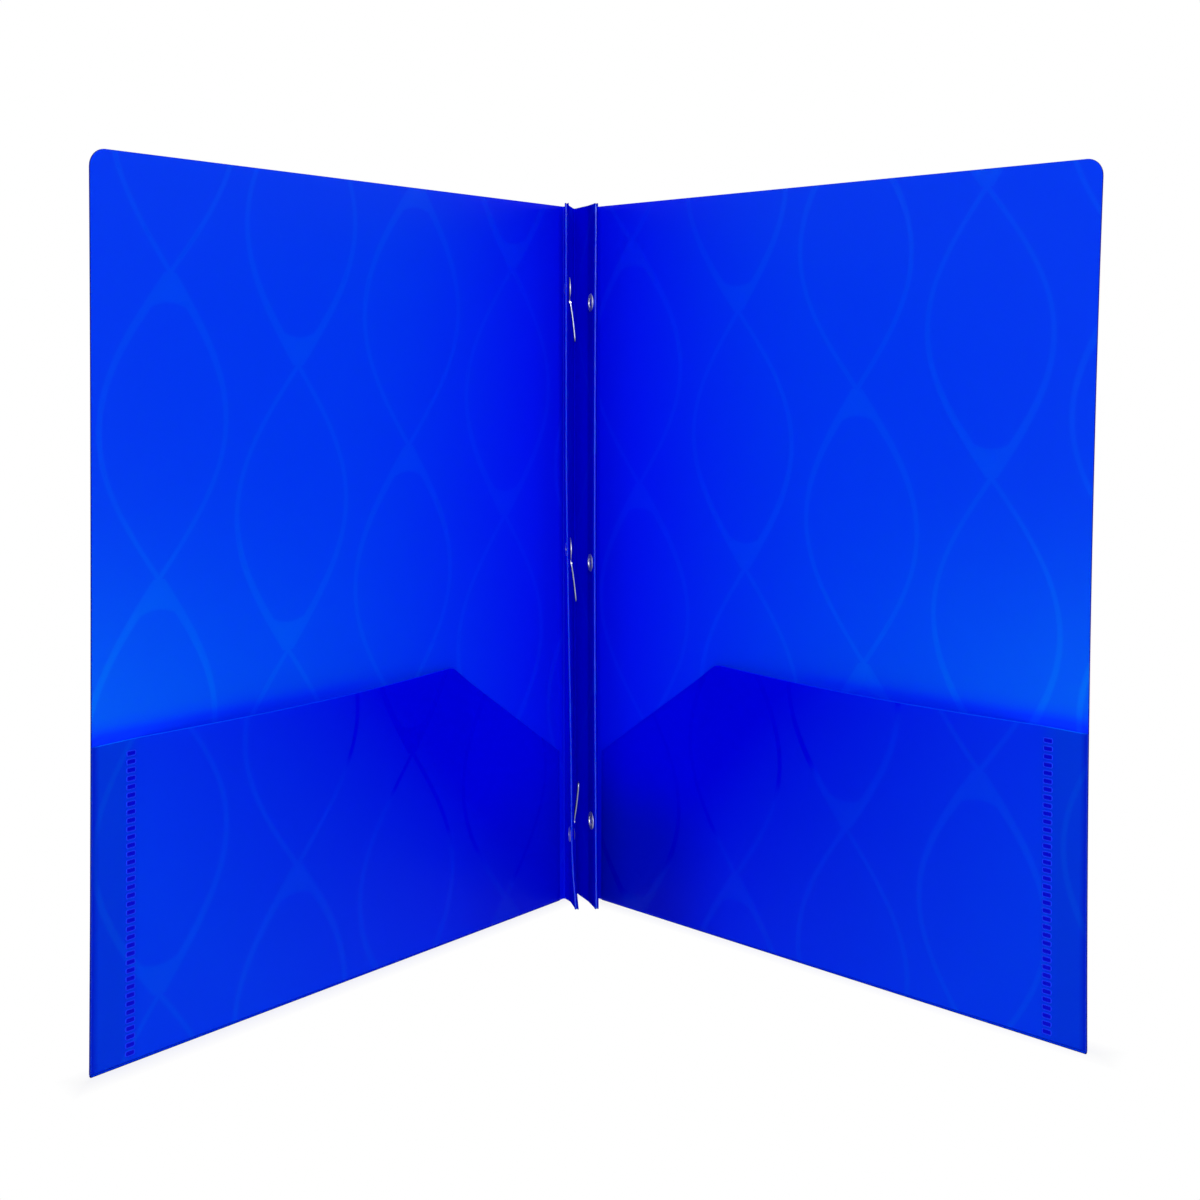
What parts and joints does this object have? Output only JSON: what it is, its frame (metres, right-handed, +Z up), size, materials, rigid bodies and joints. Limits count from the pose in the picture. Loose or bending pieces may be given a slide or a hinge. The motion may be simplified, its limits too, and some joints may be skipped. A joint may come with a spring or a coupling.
{
  "type": "two pocket folder",
  "caption": "Plastic folder with two slant-cut welded pockets, a double-fin spine and metal prong fasteners with eyelets for punched paper, standing open",
  "frame": {"origin": "on the floor, under the middle of the open folder's box", "axes": "+X to the right of someone who looks into the folder, +Y to the spine at the back, +Z up"},
  "size_m": [0.3214, 0.1964, 0.2921],
  "materials": {
    "blue_plastic": "satin polypropylene sheet with a fine grain and a faint glossier lattice",
    "nickel_steel": "nickel plated steel strip and eyelets, lightly scuffed"
  },
  "bodies": {
    "left_fin": {"left_fin_outer_leaf": "blue_plastic", "left_fin_inner_leaf": "blue_plastic", "upper_tang_base": "nickel_steel", "middle_tang_base": "nickel_steel", "lower_tang_base": "nickel_steel", "upper_tang_rivet": "nickel_steel", "middle_tang_rivet": "nickel_steel", "lower_tang_rivet": "nickel_steel"},
    "right_fin": {"right_fin_inner_leaf": "blue_plastic", "right_fin_outer_leaf": "blue_plastic", "upper_eyelet": "nickel_steel", "middle_eyelet": "nickel_steel", "lower_eyelet": "nickel_steel"},
    "left_cover": {"left_cover": "blue_plastic", "left_pocket": "blue_plastic", "left_pocket_fold": "blue_plastic", "left_pocket_weld": "blue_plastic"},
    "right_cover": {"right_cover": "blue_plastic", "right_pocket": "blue_plastic", "right_pocket_fold": "blue_plastic", "right_pocket_weld": "blue_plastic"},
    "upper_prong": {"upper_tang_prong": "nickel_steel"},
    "middle_prong": {"middle_tang_prong": "nickel_steel"},
    "lower_prong": {"lower_tang_prong": "nickel_steel"}
  },
  "joints": [
    {"name": "spine_fold", "type": "hinge", "parent": "left_fin", "child": "right_fin", "pos_m": [-0.002, 0.09762, 0], "axis": [0, 0, 1], "range_deg": [-14, 60]},
    {"name": "left_cover_fold", "type": "hinge", "parent": "left_fin", "child": "left_cover", "pos_m": [-0.0068, 0.08862, 0], "axis": [0, 0, -1], "range_deg": [-30, 100]},
    {"name": "right_cover_fold", "type": "hinge", "parent": "right_fin", "child": "right_cover", "pos_m": [0.0068, 0.08862, 0], "axis": [0, 0, 1], "range_deg": [-30, 100]},
    {"name": "upper_prong_bend", "type": "hinge", "parent": "left_fin", "child": "upper_prong", "pos_m": [-0.00354, 0.0782, 0.2515], "axis": [0.1045, -0.9945, 0], "range_deg": [-6, 17]},
    {"name": "middle_prong_bend", "type": "hinge", "parent": "left_fin", "child": "middle_prong", "pos_m": [-0.00354, 0.0782, 0.14355], "axis": [0.1045, -0.9945, 0], "range_deg": [-6, 17]},
    {"name": "lower_prong_bend", "type": "hinge", "parent": "left_fin", "child": "lower_prong", "pos_m": [-0.00354, 0.0782, 0.0356], "axis": [-0.1045, 0.9945, 0], "range_deg": [-6, 17]}
  ]
}
